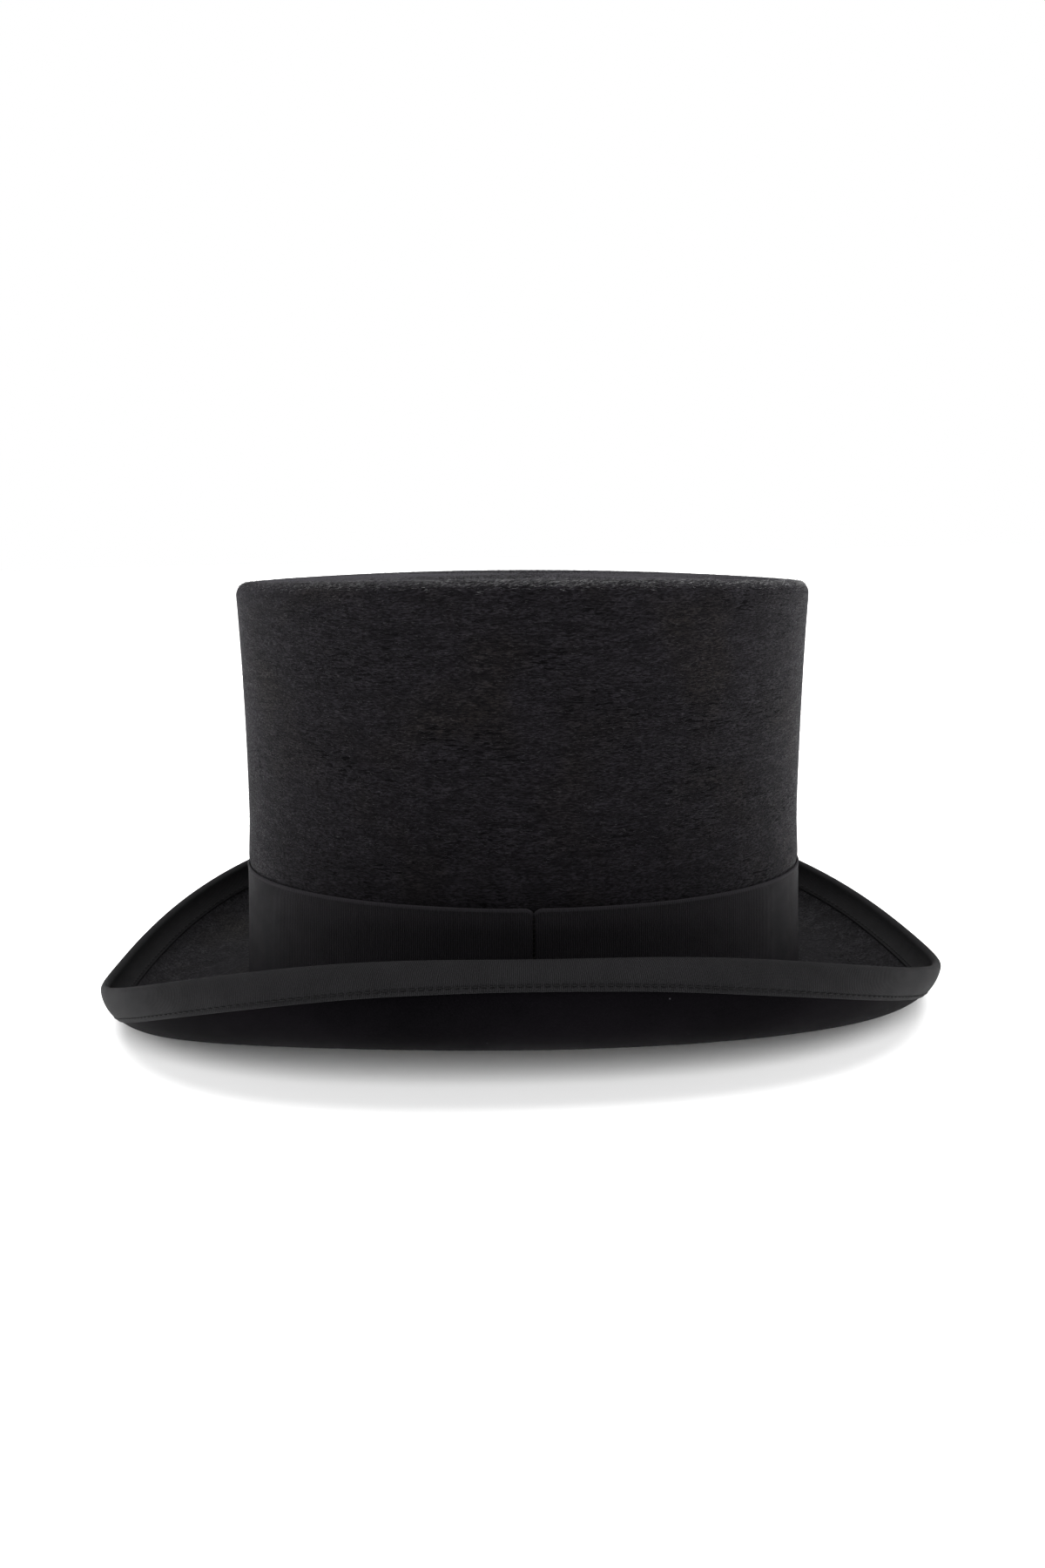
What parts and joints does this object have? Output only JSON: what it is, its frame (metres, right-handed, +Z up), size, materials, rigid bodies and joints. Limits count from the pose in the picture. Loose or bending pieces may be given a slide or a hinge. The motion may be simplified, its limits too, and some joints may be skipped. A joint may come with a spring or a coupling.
{
  "type": "top hat",
  "caption": "Formal top hat with a waisted napped crown, wide ribbon band, brim curled up at the sides, leather sweatband and satin lining.",
  "frame": {"origin": "centre of the bounding box's bottom face, on the floor that the brim's front and back tips rest on", "axes": "+X to the back of the hat along its length, +Y to the wearer's right, +Z up"},
  "size_m": [0.3122, 0.249, 0.161],
  "materials": {
    "crown_nap": "long brushed nap, soft sheen",
    "brim_nap": "napped, rough",
    "brim_merino": "smooth, matt",
    "stiffened_cloth": "shellacked, stiff",
    "band_grosgrain": "ribbed, low sheen",
    "binding_grosgrain": "finely ribbed, low sheen",
    "black_thread": "twisted thread",
    "edge_wire": "drawn wire",
    "sweatband_leather": "smooth, waxed",
    "reed_cane": "matt",
    "tape_cloth": "plain weave",
    "satin_lining": "satin, lustrous",
    "bow_ribbon": "ribbed, low sheen"
  },
  "bodies": {
    "root": {"crown_side_cover": "crown_nap", "crown_tip_cover": "crown_nap", "crown_side_shell": "stiffened_cloth", "crown_tip_shell": "stiffened_cloth", "lining_side": "satin_lining", "lining_tip": "satin_lining", "brim_shell": "stiffened_cloth", "brim_upper_cover": "brim_nap", "brim_under_cover": "brim_merino", "brim_edge_wire": "edge_wire", "brim_binding": "binding_grosgrain", "binding_stitching": "black_thread", "hat_band": "band_grosgrain", "hat_band_join_stitches": "black_thread", "sweatband": "sweatband_leather", "sweatband_join_stitches": "black_thread", "sweatband_reed": "reed_cane", "sweatband_reed_tape": "tape_cloth", "sweatband_stitching": "black_thread", "sweatband_bow_loops": "bow_ribbon", "sweatband_bow_knot": "bow_ribbon", "sweatband_bow_tails": "bow_ribbon"}
  },
  "joints": []
}
